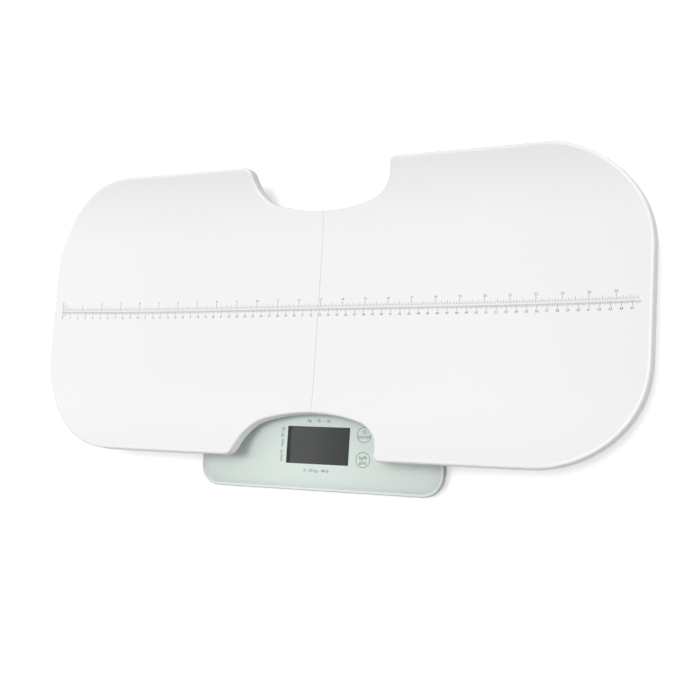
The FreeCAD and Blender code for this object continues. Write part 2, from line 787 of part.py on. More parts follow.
# ---------------------------------------------------------------- corner feet

def corners():
    """Name, plan position and turn of each corner; the lead leaves along the turned +X."""
    yield "front_left", -FOOT_ALONG, FOOT_FRONT, 0
    yield "front_right", FOOT_ALONG, FOOT_FRONT, 180
    yield "rear_left", -FOOT_ALONG, FOOT_REAR, -90
    yield "rear_right", FOOT_ALONG, FOOT_REAR, -90


def foot_mount(name):
    """Cup glued under the glass, with a boss for the load cell and a slot for its lead."""
    outer = dim("mount_radius")
    inner = outer - dim("mount_wall")
    plate = PRINT_UNDER - dim("mount_plate")
    boss = dim("mount_boss_radius")
    hole = dim("screw_shank_radius") + dim("thread_clearance")
    depth = CELL_TOP + dim("screw_grip")
    rim = CELL_BOTTOM + dim("mount_foot_gap")
    cup = turned(f"mount_cup_{name}", [(0, PRINT_UNDER), (0, depth), (hole, depth), (hole, CELL_TOP),
                                       (boss, CELL_TOP), (boss, plate), (inner, plate), (inner, rim),
                                       (outer, rim), (outer, PRINT_UNDER)])
    slot = middle_box(f"mount_slot_{name}", 0, rim, dim("mount_wall") * 3, dim("lead_hole_radius") * 2,
                      LEAD_LEVEL + dim("lead_hole_radius") - rim, outer - dim("mount_wall"))
    return cut(f"foot_mount_{name}", cup, slot)


def load_cell(name):
    """Steel plate cut so that a tongue in its middle bends under load."""
    side = dim("cell_side")
    plate = slab(f"load_cell_{name}", side, side, dim("cell_corner_radius"), dim("cell_thickness"))
    outer = side / 2 - dim("cell_frame")
    inner = outer - dim("cell_slot")
    slot = sketch(plate, f"cell_slot_{name}")
    polygon(slot, [(inner, outer), (-outer, outer), (-outer, -outer), (inner, -outer),
                   (inner, -inner), (-inner, -inner), (-inner, inner), (inner, inner)])
    circle(slot, dim("cell_hole_radius"))
    pocket(plate, slot, f"cell_cut_{name}", dim("cell_thickness"), upwards=True)
    return plate


def foot(name):
    """Puck under the load cell, with a well for the screw head and a seat for its pad."""
    seat = dim("foot_pad_radius") + dim("plug_clearance")
    well = CELL_BOTTOM - dim("foot_well_depth")
    low = dim("foot_bottom")
    edge = dim("foot_edge_round")
    outer = dim("foot_radius")
    top = CELL_BOTTOM
    return turned(f"foot_{name}", [(0, dim("foot_pad_thickness")), (seat, dim("foot_pad_thickness")),
                                   (seat, low), (outer - edge, low), (outer, low + edge), (outer, top),
                                   (dim("foot_well_radius"), top), (dim("foot_well_radius"), well),
                                   (0, well)])


def foot_pad(name):
    edge = dim("pad_edge")
    outer = dim("foot_pad_radius")
    return turned(f"foot_pad_{name}", [(0, 0), (outer - edge, 0), (outer, edge),
                                       (outer, dim("foot_pad_thickness")), (0, dim("foot_pad_thickness"))])


def feet():
    """Mount, load cell, foot and rubber pad at each corner."""
    made = []
    for name, x, y, turn in corners():
        made.append(place(foot_mount(name), x, y, 0, about_z(turn)))
        made.append(place(load_cell(name), x, y, CELL_BOTTOM, about_z(turn)))
        made.append(place(foot(name), x, y, 0))
        made.append(place(foot_pad(name), x, y, 0))
    return made


def cell_screws():
    """One pan-head screw through each load cell's tongue into its mount."""
    screws = []
    for _, x, y, _ in corners():
        head = rod("cell_screw_head", x, y, CELL_BOTTOM - dim("screw_head_height"),
                   dim("screw_head_radius"), dim("screw_head_height"))
        shank = rod("cell_screw_shank", x, y, CELL_BOTTOM, dim("screw_shank_radius"),
                    dim("cell_thickness") + dim("screw_grip"))
        screws.append(fuse("cell_screw", [head, shank]))
    return group("cell_screws", screws)


# ---------------------------------------------------------------- load-cell leads

def rounded_path(points, largest):
    """Straight runs through the points, joined by tangent arcs."""
    edges = []
    start = points[0]
    for before, corner, after in zip(points, points[1:], points[2:]):
        inwards = (before - corner).normalize()
        outwards = (after - corner).normalize()
        half_turn = (math.pi - inwards.getAngle(outwards)) / 2
        shorter = min((before - corner).Length, (after - corner).Length)
        trim = min(0.45 * shorter, largest * math.tan(half_turn))
        radius = trim / math.tan(half_turn)
        first = corner + inwards * trim
        last = corner + outwards * trim
        towards = (inwards + outwards).normalize()
        middle = corner + towards * (radius / math.cos(half_turn) - radius)
        edges.append(Part.LineSegment(start, first).toShape())
        edges.append(Part.Arc(first, middle, last).toShape())
        start = last
    edges.append(Part.LineSegment(start, points[-1]).toShape())
    return Part.Wire(edges)


def lead_route(side, rear):
    """Corner points of a lead from its load cell to its socket, as sizes."""
    socket_x, socket_y = socket_place(side, 1 if rear else -1)
    face = socket_x + dim("socket_width") / 2 * side
    socket_z = BOARD_TOP + dim("socket_height") / 2
    wall = HOUSING_HALF_WIDTH * side
    inside = (face + wall) / 2
    past_wall = wall - dim("housing_wall") * 2 * side
    foot_x = FOOT_ALONG * side
    last = [(inside + (face - inside) / 3, socket_y, socket_z), (face, socket_y, socket_z)]
    if not rear:
        start = foot_x - dim("cell_side") / 2 * side
        return [(start, FOOT_FRONT, LEAD_LEVEL), (past_wall, FOOT_FRONT, LEAD_LEVEL)] + last
    cover_z = PRINT_UNDER - (dim("lead_cover_height") - dim("lead_cover_wall")) / 2
    start = FOOT_REAR - dim("cell_side") / 2
    cover_rear = FOOT_REAR - dim("lead_cover_rear")
    cover_front = FOOT_FRONT + dim("lead_cover_front")
    return [(foot_x, start, LEAD_LEVEL), (foot_x, start - dim("mount_radius") / 2, LEAD_LEVEL),
            (foot_x, cover_rear + dim("lead_cover_width"), cover_z),
            (foot_x, cover_front - dim("mount_radius"), cover_z),
            (wall + dim("lead_cover_width") * side, socket_y, LEAD_LEVEL),
            (past_wall, socket_y, LEAD_LEVEL)] + last


def lead(name, side, rear):
    """Round lead swept along its route."""
    corners_of_route = [Vector(*(number_of(value) for value in point)) for point in lead_route(side, rear)]
    path = rounded_path(corners_of_route, dim("lead_bend_radius").value)
    start = corners_of_route[0]
    section = Part.Wire(Part.Circle(start, corners_of_route[1] - start, dim("lead_radius").value).toShape())
    cable = DOC.addObject("Part::Feature", name)
    cable.Shape = path.makePipeShell([section], True, False)
    return cable


def leads():
    made = []
    for side, hand in ((-1, "left"), (1, "right")):
        made.append(lead(f"lead_front_{hand}", side, False))
        made.append(lead(f"lead_rear_{hand}", side, True))
    return made


def lead_cover(hand, side):
    """Channel glued under the glass over the straight run of a rear lead."""
    front = FOOT_FRONT + dim("lead_cover_front")
    length = FOOT_REAR - dim("lead_cover_rear") - front
    middle = front + length / 2
    low = PRINT_UNDER - dim("lead_cover_height")
    outside = middle_box("cover_block", middle, low, dim("lead_cover_width"), length,
                         dim("lead_cover_height"), FOOT_ALONG * side)
    groove = middle_box("cover_groove", middle, low + dim("lead_cover_wall"),
                        dim("lead_cover_width") - dim("lead_cover_wall") * 2, length,
                        dim("lead_cover_height"), FOOT_ALONG * side)
    return cut(f"lead_cover_{hand}", outside, groove)


# ---------------------------------------------------------------- tray

def arc_rise(distance, flat, reach, rise):
    """Height of a floor that is level to flat and then curves up to rise at reach."""
    beyond = abs(distance) - flat
    if beyond <= 0:
        return 0.0
    span = reach - flat
    radius = (span ** 2 + rise ** 2) / (2 * rise)
    return radius - math.sqrt(radius ** 2 - beyond ** 2)


def tray_size(name):
    return dim(name).value


FLARE = tray_size("skirt_flare") / tray_size("skirt_depth")
TRAY_HALF_WIDTH = tray_size("tray_width") / 2
RIM_LEVEL = TRAY_FLOOR.value + tray_size("tray_side_rise")
TRAY_HALF_LENGTH = (tray_size("tray_length") / 2
                    - FLARE * (tray_size("tray_side_rise") - tray_size("tray_end_rise")))


def dish_face(drop):
    """The dished top surface, lowered by drop, a little larger than one half of the tray."""
    margin = tray_size("tray_thickness") * 4
    low_x, high_x = -margin, TRAY_HALF_LENGTH + margin
    high_y = TRAY_HALF_WIDTH + margin
    along, across = 20, 40
    rows = []
    for i in range(along + 1):
        x = low_x + (high_x - low_x) * i / along
        row = []
        for j in range(across + 1):
            y = high_y * (2 * j / across - 1)
            rise = arc_rise(max(x, 0), tray_size("tray_end_flat"), TRAY_HALF_LENGTH,
                            tray_size("tray_end_rise"))
            rise += arc_rise(y, tray_size("tray_side_flat"), TRAY_HALF_WIDTH, tray_size("tray_side_rise"))
            row.append(Vector(x, y, TRAY_FLOOR.value + rise - drop))
        rows.append(row)
    surface = Part.BSplineSurface()
    surface.interpolate(rows)
    return surface.toShape()


def layer(top_drop, thickness):
    """Solid between the dished surface lowered by top_drop and the same surface lower still."""
    return dish_face(top_drop).extrude(Vector(0, 0, -thickness))


def rear_edge_arcs(outset):
    """The arcs of the rear edge, each a function of its angle, with the angles where they meet.

    From the seam outwards: notch floor, notch corner, rounded mouth and end corner. The corner's
    radius is the one that runs smoothly from the floor into the short straight side.
    """
    floor_radius = tray_size("notch_floor_radius")
    mouth_radius = tray_size("notch_mouth_radius")
    half_width = tray_size("notch_half_width")
    floor_y = TRAY_HALF_WIDTH - tray_size("notch_depth") + floor_radius
    slope = math.radians(tray_size("notch_side_slope"))
    straight = tray_size("notch_side_straight")
    mouth_x = half_width + straight / math.tan(slope) + mouth_radius * math.sin(slope)
    mouth_y = TRAY_HALF_WIDTH - mouth_radius
    side_end = mouth_y + mouth_radius * math.cos(slope) - straight
    corner_radius = ((floor_radius ** 2 - half_width ** 2 - (floor_y - side_end) ** 2)
                     / (floor_radius - half_width * math.sin(slope)
                        - (floor_y - side_end) * math.cos(slope)) / 2)
    corner_x = half_width - corner_radius * math.sin(slope)
    corner_y = side_end + corner_radius * math.cos(slope)
    lean = math.atan(corner_x / (floor_y - corner_y))
    end_radius = tray_size("tray_corner_radius")

    def on_floor(angle):
        radius = floor_radius - outset
        return Vector(radius * math.sin(angle), floor_y - radius * math.cos(angle), 0)

    def on_corner(angle):
        radius = corner_radius - outset
        return Vector(corner_x + radius * math.sin(angle), corner_y - radius * math.cos(angle), 0)

    def on_mouth(angle):
        radius = mouth_radius + outset
        return Vector(mouth_x - radius * math.sin(angle), mouth_y + radius * math.cos(angle), 0)

    def on_end(angle):
        radius = end_radius + outset
        return Vector(TRAY_HALF_LENGTH - end_radius + radius * math.sin(angle),
                      TRAY_HALF_WIDTH - end_radius + radius * math.cos(angle), 0)

    return on_floor, on_corner, on_mouth, on_end, lean, slope, floor_radius


def half_outline(level, outset, seam):
    """Plan outline of the right half at a level, moved outwards by outset."""
    on_floor, on_corner, on_mouth, on_end, lean, slope, floor_radius = rear_edge_arcs(outset)
    start = math.asin(seam / (floor_radius - outset))
    rear = [[on_floor(angle) for angle in (start, (start + lean) / 2, lean)],
            [on_corner(angle) for angle in (lean, (lean + slope) / 2, slope)],
            [on_corner(slope), on_mouth(slope)],
            [on_mouth(angle) for angle in (slope, slope / 2, 0)],
            [on_mouth(0), on_end(0)],
            [on_end(angle) for angle in (0, math.pi / 4, math.pi / 2)]]
    front = [[Vector(point.x, -point.y, 0) for point in reversed(points)] for points in reversed(rear)]
    stretches = rear + [[rear[-1][-1], front[0][0]]] + front + [[front[-1][-1], rear[0][0]]]
    edges = []
    for points in stretches:
        curve = Part.Arc(*points) if len(points) == 3 else Part.LineSegment(*points)
        edges.append(curve.toShape())
    outline = Part.Wire(edges)
    outline.translate(Vector(0, 0, level))
    return outline


def half_block(inset, seam):
    """Flared upright block over the right half's outline, taller than the tray."""
    low = GLASS_TOP.value - tray_size("lip_reach")
    high = RIM_LEVEL + tray_size("skirt_depth")
    outlines = [half_outline(level, (RIM_LEVEL - level) * FLARE - inset, seam) for level in (low, high)]
    return Part.makeLoft(outlines, True, True)


def plain_box(x, y, z, length, width, height):
    return Part.makeBox(length, width, height, Vector(x, y, z))


def rim_edges(shell):
    """Edges of the shell's top surface, without the one along the seam."""
    seam = tray_size("seam_gap") / 2
    found = []
    for edge in shell.Edges:
        first, last = edge.ParameterRange
        points = [edge.valueAt(first + (last - first) * step / 4) for step in range(5)]
        level = [TRAY_FLOOR.value
                 + arc_rise(max(p.x, 0), tray_size("tray_end_flat"), TRAY_HALF_LENGTH,
                            tray_size("tray_end_rise"))
                 + arc_rise(p.y, tray_size("tray_side_flat"), TRAY_HALF_WIDTH,
                            tray_size("tray_side_rise")) for p in points]
        on_top = all(abs(p.z - z) < 0.1 for p, z in zip(points, level))
        on_seam = all(abs(p.x - seam) < 0.01 for p in points)
        if on_top and not on_seam:
            found.append(edge)
    return found


def dished_shell():
    """Floor with a rolled rim and a turned-down skirt."""
    wall = tray_size("tray_thickness")
    seam = tray_size("seam_gap") / 2
    flange = seam + tray_size("seam_flange")
    outside = half_block(0, seam).common(layer(0, tray_size("skirt_depth")))
    hollow = half_block(wall, flange).common(layer(wall, tray_size("skirt_depth") * 2))
    shell = outside.cut(hollow).Solids[0]
    return shell.makeFillet(tray_size("rim_radius"), rim_edges(shell))


def tray_ribs():
    """Thin ribs along and across the underside."""
    thick = tray_size("rib_thickness")
    low = GLASS_TOP.value
    tall = RIM_LEVEL - low
    ribs = []
    for side in (-1, 1):
        y = side * tray_size("long_rib_offset") - thick / 2
        ribs.append(plain_box(tray_size("seam_gap") / 2 + tray_size("seam_flange") / 2, y, low,
                              tray_size("long_rib_end"), thick, tall))
    half = tray_size("cross_rib_half_length")
    for step in range(int(tray_size("cross_rib_count"))):
        x = tray_size("cross_rib_first") + tray_size("cross_rib_pitch") * step
        ribs.append(plain_box(x, -half, low, thick, half * 2, tall))
    rough = ribs[0].fuse(ribs[1:])
    return rough.common(layer(tray_size("tray_thickness") / 2, tray_size("rib_depth")))


def tray_legs():
    """Two hollow legs that carry the half on the glass, each with a seat for its pad."""
    foot_level = GLASS_TOP.value + tray_size("tray_pad_thickness") - tray_size("tray_pad_recess")
    seat_level = GLASS_TOP.value + tray_size("tray_pad_thickness")
    under = TRAY_FLOOR.value - tray_size("tray_thickness")
    legs = []
    for side in (-1, 1):
        base = Vector(tray_size("leg_offset_along"), side * tray_size("leg_offset_across"), foot_level)
        leg = Part.makeCylinder(tray_size("leg_radius"), under + tray_size("root_overlap") - foot_level,
                                base)
        seat = Part.makeCylinder(tray_size("tray_pad_radius") + tray_size("plug_clearance"),
                                 seat_level - foot_level, base)
        bore = Part.makeCylinder(tray_size("leg_bore_radius"), under - foot_level, base)
        legs.append(leg.cut(seat.fuse(bore)))
    return legs


def tray_lip():
    """Lip that hangs past the side edge of the glass and locates the half."""
    thick = tray_size("lip_thickness")
    length = tray_size("lip_length")
    low = GLASS_TOP.value - tray_size("lip_reach")
    edge = tray_size("glass_size") / 2 + tray_size("lip_clearance")
    lip = plain_box(edge, -length / 2, low, thick, length, RIM_LEVEL - low)
    return lip.common(layer(tray_size("tray_thickness") / 2, RIM_LEVEL - low))


def tongue_levels():
    """Lower and upper face of a tongue, just under the tray's floor."""
    top = TRAY_FLOOR.value - tray_size("tray_thickness") - tray_size("slide_clearance")
    return top - tray_size("tongue_thickness"), top


def tray_tongue():
    """Flat tongue at the rear that reaches across the seam."""
    low, top = tongue_levels()
    width = tray_size("tongue_width")
    y = tray_size("tongue_offset") - width / 2
    reach = tray_size("tongue_length")
    root = tray_size("tongue_root")
    tongue = plain_box(-reach, y, low, reach + root, width, top - low)
    base = plain_box(tray_size("seam_gap") / 2, y, low, root - tray_size("seam_gap") / 2, width,
                     top - low + tray_size("slide_clearance") + tray_size("root_overlap"))
    return tongue.fuse(base)


def tray_sleeve():
    """Sleeve at the front that takes the other half's tongue, and the hollow inside it."""
    low, top = tongue_levels()
    gap = tray_size("slide_clearance")
    wall = tray_size("sleeve_wall")
    width = tray_size("tongue_width") + gap * 2
    y = -tray_size("tongue_offset") - width / 2
    length = tray_size("tongue_length") + gap * 2
    start = tray_size("seam_gap") / 2
    sleeve = plain_box(start, y - wall, low - gap - wall, length + wall, width + wall * 2,
                       top - low + gap * 2 + wall + tray_size("root_overlap"))
    hollow = plain_box(0, y, low - gap, start + length, width, top - low + gap * 2)
    return sleeve, hollow


def tray_half_shape():
    """Right half of the tray, its seam on the tray's middle."""
    sleeve, hollow = tray_sleeve()
    solid = dished_shell().fuse([tray_ribs(), sleeve, tray_lip()])
    solid = solid.cut(hollow)
    solid = solid.fuse(tray_legs() + [tray_tongue()])
    return solid.removeSplitter()


def tray_half(name, shape, turn):
    half = DOC.addObject("Part::Feature", name)
    half.Shape = shape
    return place(half, 0, TRAY_CENTRE, 0, about_z(turn))


def tray_pads(hand, side):
    """Two rubber pads, each plugged into the bore of a leg."""
    outer = dim("tray_pad_radius")
    thick = dim("tray_pad_thickness")
    plug = dim("leg_bore_radius") - dim("plug_clearance")
    edge = dim("pad_edge")
    pads = []
    for across in (-1, 1):
        rubber = turned(f"tray_pad_{hand}", [(0, 0), (outer - edge, 0), (outer, edge), (outer, thick),
                                             (plug, thick), (plug, thick + dim("tray_pad_plug_length")),
                                             (0, thick + dim("tray_pad_plug_length"))])
        pads.append(place(rubber, dim("leg_offset_along") * side,
                          TRAY_CENTRE + dim("leg_offset_across") * across, GLASS_TOP))
    return group(f"tray_pads_{hand}", pads)


# ---------------------------------------------------------------- whole scale

def all_parts():
    half = tray_half_shape()
    parts = [glass_platform(), back_print()]
    parts += [display_panel(), display_backlight(), display_frame(), display_connectors()]
    parts += [main_board(), board_screws(), controller_chip(), lead_sockets(), touch_key_pads()]
    parts += [electronics_housing(), housing_seal(), battery_door()]
    parts += batteries() + battery_contacts()
    parts += feet() + [cell_screws()] + leads()
    parts += [lead_cover("left", -1), lead_cover("right", 1)]
    parts += [tray_half("tray_half_right", half, 0), tray_half("tray_half_left", half, 180)]
    parts += [tray_pads("right", 1), tray_pads("left", -1)]
    return parts


def check(parts):
    """Stop if any object failed or any sub-part is empty or broken."""
    for item in DOC.Objects:
        if "Invalid" in item.State or "Error" in item.State:
            raise RuntimeError(f"{item.Name} failed: {item.State}")
    for part in parts:
        if part.Shape.isNull() or not part.Shape.isValid():
            raise RuntimeError(f"{part.Label} has no valid shape")


def write(parts):
    os.makedirs("parts", exist_ok=True)
    for part in parts:
        part.Shape.exportStep(f"parts/{part.Label}.step")
        print(part.Label, len(part.Shape.Solids), round(part.Shape.Volume, 1))


PARTS = all_parts()
DOC.recompute()
check(PARTS)
write(PARTS)
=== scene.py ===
import math

import bmesh
import bpy
from mathutils import Matrix, Vector
from mathutils.bvhtree import BVHTree


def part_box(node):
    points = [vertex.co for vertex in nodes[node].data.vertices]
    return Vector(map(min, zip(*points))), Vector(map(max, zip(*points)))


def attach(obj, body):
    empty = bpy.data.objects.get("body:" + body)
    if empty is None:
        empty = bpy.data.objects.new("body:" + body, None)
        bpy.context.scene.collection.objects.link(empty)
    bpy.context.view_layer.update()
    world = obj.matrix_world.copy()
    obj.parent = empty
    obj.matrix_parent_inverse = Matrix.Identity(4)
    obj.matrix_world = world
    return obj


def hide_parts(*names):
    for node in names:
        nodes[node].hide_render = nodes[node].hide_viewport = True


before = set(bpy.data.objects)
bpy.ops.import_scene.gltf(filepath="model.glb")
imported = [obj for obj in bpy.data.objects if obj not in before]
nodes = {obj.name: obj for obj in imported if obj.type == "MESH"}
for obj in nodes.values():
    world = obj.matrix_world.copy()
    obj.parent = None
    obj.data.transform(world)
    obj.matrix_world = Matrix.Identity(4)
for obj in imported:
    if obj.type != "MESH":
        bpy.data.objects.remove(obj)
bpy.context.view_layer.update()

# ---------------------------------------------------------------- camera
# A long lens, high over the front and right of the scale, tilted so that the tray runs
# slightly uphill to the right.
eye = Vector((0.54206, -0.16185, 1.02407))
sight_right = Vector((0.89196, 0.06194, -0.44785))
sight_down = Vector((-0.00031, -0.99049, -0.13761))
sight_ahead = Vector((-0.45212, 0.12288, -0.88345))

lens = bpy.data.cameras.new("studio_camera")
lens.sensor_width = 36.0
lens.sensor_fit = "HORIZONTAL"
lens.lens = 56.945
lens.clip_start = 0.02
lens.clip_end = 20.0
camera = bpy.data.objects.new("studio_camera", lens)
bpy.context.scene.collection.objects.link(camera)
camera.matrix_world = Matrix.Translation(eye) @ Matrix(
    (sight_right, -sight_down, -sight_ahead)).transposed().to_4x4()
bpy.context.scene.camera = camera


# ---------------------------------------------------------------- studio
# White paper sweep under the scale, one soft lamp high over its right end, and a pale room,
# lighter at the rear and right, that fills the shadows. A white screen to the left shows in
# the glass and the gloss.
def feed(tree, socket, term):
    """Give a node's socket the output of another node or a plain value."""
    if isinstance(term, bpy.types.NodeSocket):
        tree.links.new(term, socket)
    else:
        socket.default_value = term


def arithmetic(tree, operation, *terms, kind="ShaderNodeMath", gives="Value"):
    """One step of arithmetic on numbers."""
    step = tree.nodes.new(kind)
    step.operation = operation
    for socket, term in zip(step.inputs, terms):
        feed(tree, socket, term)
    return step.outputs[gives]


def vector_arithmetic(tree, operation, *terms, gives="Vector"):
    """One step of arithmetic on vectors."""
    return arithmetic(tree, operation, *terms, kind="ShaderNodeVectorMath", gives=gives)


def part_of(tree, vector, axis):
    """One axis of a vector, as a number."""
    parts = tree.nodes.new("ShaderNodeSeparateXYZ")
    tree.links.new(vector, parts.inputs[0])
    return parts.outputs[axis]


def ranged(tree, value, source=(0.0, 1.0), result=(0.0, 1.0), ramp="LINEAR"):
    """A number that runs over the result's range while the value runs over the source's."""
    span = tree.nodes.new("ShaderNodeMapRange")
    span.interpolation_type = ramp
    feed(tree, span.inputs["Value"], value)
    for name, term in zip(("From Min", "From Max", "To Min", "To Max"), (*source, *result)):
        feed(tree, span.inputs[name], term)
    return span.outputs["Result"]


def blended(tree, factor, first, second):
    """A colour between two, each of them three numbers or the output of another node."""
    blend = tree.nodes.new("ShaderNodeMix")
    blend.data_type = "RGBA"
    feed(tree, blend.inputs["Factor"], factor)
    for name, colour in (("A", first), ("B", second)):
        linked = isinstance(colour, bpy.types.NodeSocket)
        feed(tree, blend.inputs[name], colour if linked else (*colour, 1))
    return blend.outputs["Result"]


def shown(tree, ray):
    """1 on a ray that shows a surface, straight, mirrored or through glass, and 0 on its light."""
    seen = ray.outputs["Is Camera Ray"]
    for way in ("Is Glossy Ray", "Is Transmission Ray"):
        seen = arithmetic(tree, "MAXIMUM", seen, ray.outputs[way])
    return seen


def start_material(name):
    """A new material, its tree and its main shader."""
    material = bpy.data.materials.new(name)
    material.use_nodes = True
    tree = material.node_tree
    return material, tree, tree.nodes["Principled BSDF"]


bpy.context.scene.view_settings.view_transform = "Standard"

lamp = bpy.data.lights.new("soft_lamp", "SUN")
lamp.energy = 1.33
lamp.angle = math.radians(20)
lamp_object = bpy.data.objects.new("soft_lamp", lamp)
bpy.context.scene.collection.objects.link(lamp_object)
lamp_from = Vector((0.14, 0.05, 1.0))
lamp_object.rotation_euler = lamp_from.to_track_quat("Z", "Y").to_euler()

room_fill = 0.58
lighter_right_and_rear = (0.22, 0.14, 0.0)
screen_edge = (-0.490, -0.440)
screen_to_room = (1.0, 0.42)
room = bpy.data.worlds.new("pale_room")
bpy.context.scene.world = room
room.use_nodes = True
room_tree = room.node_tree
room_light = room_tree.nodes["Background"]
room_light.inputs["Color"].default_value = (1.0, 1.0, 1.0, 1.0)
room_ray = room_tree.nodes.new("ShaderNodeLightPath")
toward = room_tree.nodes.new("ShaderNodeTexCoord").outputs["Generated"]
# Straight on, the room is plain white. Gloss and glass mirror the screen and a dimmer room.
lean = vector_arithmetic(room_tree, "DOT_PRODUCT", toward, lighter_right_and_rear, gives="Value")
fill = arithmetic(room_tree, "ADD", lean, room_fill)
room_strength = ranged(room_tree, shown(room_tree, room_ray), result=(fill, 1.0))
mirrored = ranged(room_tree, part_of(room_tree, toward, "X"), screen_edge, screen_to_room,
                  ramp="SMOOTHSTEP")
strength = ranged(room_tree, room_ray.outputs["Is Glossy Ray"], result=(room_strength, mirrored))
room_tree.links.new(strength, room_light.inputs["Strength"])

sweep_half = 5.0
sweep_mesh = bpy.data.meshes.new("sweep")
sweep_mesh.from_pydata([(-sweep_half, -sweep_half, 0), (sweep_half, -sweep_half, 0),
                        (sweep_half, sweep_half, 0), (-sweep_half, sweep_half, 0)],
                       [], [(0, 1, 2, 3)])
sweep = bpy.data.objects.new("sweep", sweep_mesh)
bpy.context.scene.collection.objects.link(sweep)
paper, paper_tree, paper_shade = start_material("sweep_paper")
paper_shade.inputs["Roughness"].default_value = 0.9
paper_shade.inputs["Specular IOR Level"].default_value = 0.0
paper_shade.inputs["Emission Color"].default_value = (1, 1, 1, 1)
paper_glow = 0.40
paper_shown = shown(paper_tree, paper_tree.nodes.new("ShaderNodeLightPath"))
paper_white = blended(paper_tree, paper_shown, (0.06, 0.06, 0.06), (0.95, 0.95, 0.95))
paper_lift = arithmetic(paper_tree, "MULTIPLY", paper_shown, paper_glow)
paper_tree.links.new(paper_white, paper_shade.inputs["Base Color"])
paper_tree.links.new(paper_lift, paper_shade.inputs["Emission Strength"])
sweep_mesh.materials.append(paper)


# ---------------------------------------------------------------- glass platform
# Square of toughened glass, six millimetres thick, with round corners and a ground,
# slightly frosted edge that scatters the light that enters near it. It carries everything else.
def place_on(tree, kind="Object"):
    """Where a point lies, in its piece's own coordinates."""
    return tree.nodes.new("ShaderNodeTexCoord").outputs[kind]


def finish_cad_node(name, material):
    """Give a node that stays as it comes from model.glb its finish."""
    mesh = nodes[name].data
    mesh.materials.clear()
    mesh.materials.append(material)


glass_low, glass_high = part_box("glass_platform")
glass_corner = 0.022
ground_margin = 0.003
margin_blur = 0.0002
side_to_level = (0.8, 0.98)
ground_to_polished = (0.32, 0.015)
through_side_to_level = (0.35, 1.0)
through_middle_to_margin = (1.0, 0.2)

toughened_glass, glass_tree, glass_shade = start_material("toughened_glass")
glass_shade.inputs["IOR"].default_value = 1.52
glass_shade.inputs["Specular Tint"].default_value = (0.5, 0.5, 0.5, 1)
# The level faces are polished and the sides are ground.
facing = glass_tree.nodes.new("ShaderNodeNewGeometry")
upright = arithmetic(glass_tree, "ABSOLUTE", part_of(glass_tree, facing.outputs["True Normal"], "Z"))
level_share = ranged(glass_tree, upright, side_to_level)
gloss = ranged(glass_tree, level_share, result=ground_to_polished)
glass_tree.links.new(gloss, glass_shade.inputs["Roughness"])

# How far a point reaches past the straight stretches, so that the margin follows the corners.
straight_half = (glass_high - glass_low) / 2 - Vector((glass_corner, glass_corner, 0))
from_middle = vector_arithmetic(glass_tree, "SUBTRACT", place_on(glass_tree),
                                (glass_low + glass_high) / 2)
either_side = vector_arithmetic(glass_tree, "ABSOLUTE", from_middle)
past_corner = vector_arithmetic(glass_tree, "SUBTRACT", either_side, straight_half)
outward = vector_arithmetic(glass_tree, "MAXIMUM", past_corner, (0, 0, 0))
reach = vector_arithmetic(glass_tree, "LENGTH", outward, gives="Value")
margin_start = glass_corner - ground_margin
near_edge = ranged(glass_tree, reach, (margin_start, margin_start + margin_blur))

margin_tint = blended(glass_tree, level_share, (0.52, 0.59, 0.56), (0.88, 0.94, 0.91))
tint = blended(glass_tree, near_edge, (0.955, 0.985, 0.972), margin_tint)
glass_tree.links.new(tint, glass_shade.inputs["Base Color"])
through_face = ranged(glass_tree, level_share, result=through_side_to_level)
through_margin = ranged(glass_tree, near_edge, result=through_middle_to_margin)
clear_share = arithmetic(glass_tree, "MULTIPLY", through_face, through_margin)
glass_tree.links.new(clear_share, glass_shade.inputs["Transmission Weight"])

# Lamp and room light for the pieces below passes straight through, less of it in the margin.
passed_on = blended(glass_tree, near_edge, (0.965, 0.985, 0.975), (0.35, 0.37, 0.36))
let_through = glass_tree.nodes.new("ShaderNodeBsdfTransparent")
glass_tree.links.new(passed_on, let_through.inputs["Color"])
glass_ray = glass_tree.nodes.new("ShaderNodeLightPath")
surface = glass_shade.outputs["BSDF"]
for way in ("Is Shadow Ray", "Is Diffuse Ray"):
    pane = glass_tree.nodes.new("ShaderNodeMixShader")
    glass_tree.links.new(glass_ray.outputs[way], pane.inputs["Fac"])
    glass_tree.links.new(surface, pane.inputs[1])
    glass_tree.links.new(let_through.outputs["BSDF"], pane.inputs[2])
    surface = pane.outputs["Shader"]
glass_tree.links.new(surface, glass_tree.nodes["Material Output"].inputs["Surface"])
finish_cad_node("glass_platform", toughened_glass)

# ---------------------------------------------------------------- print under the glass
# Pale mint enamel printed on the underside of the glass, open at the display and with a
# white line round that window. It is baked on and stops short of the ground edge.
noise_spread = (0.3, 0.7)


def speckle(tree, place, scale, detail=3.0, roughness=0.55):
    """Fine noise over a piece."""
    noise = tree.nodes.new("ShaderNodeTexNoise")
    noise.inputs["Scale"].default_value = scale
    noise.inputs["Detail"].default_value = detail
    noise.inputs["Roughness"].default_value = roughness
    tree.links.new(place, noise.inputs["Vector"])
    return noise.outputs["Fac"]


def bumps(tree, height, distance):
    """Bump from a height field, its distance in metres."""
    bump = tree.nodes.new("ShaderNodeBump")
    bump.inputs["Distance"].default_value = distance
    tree.links.new(height, bump.inputs["Height"])
    return bump.outputs["Normal"]


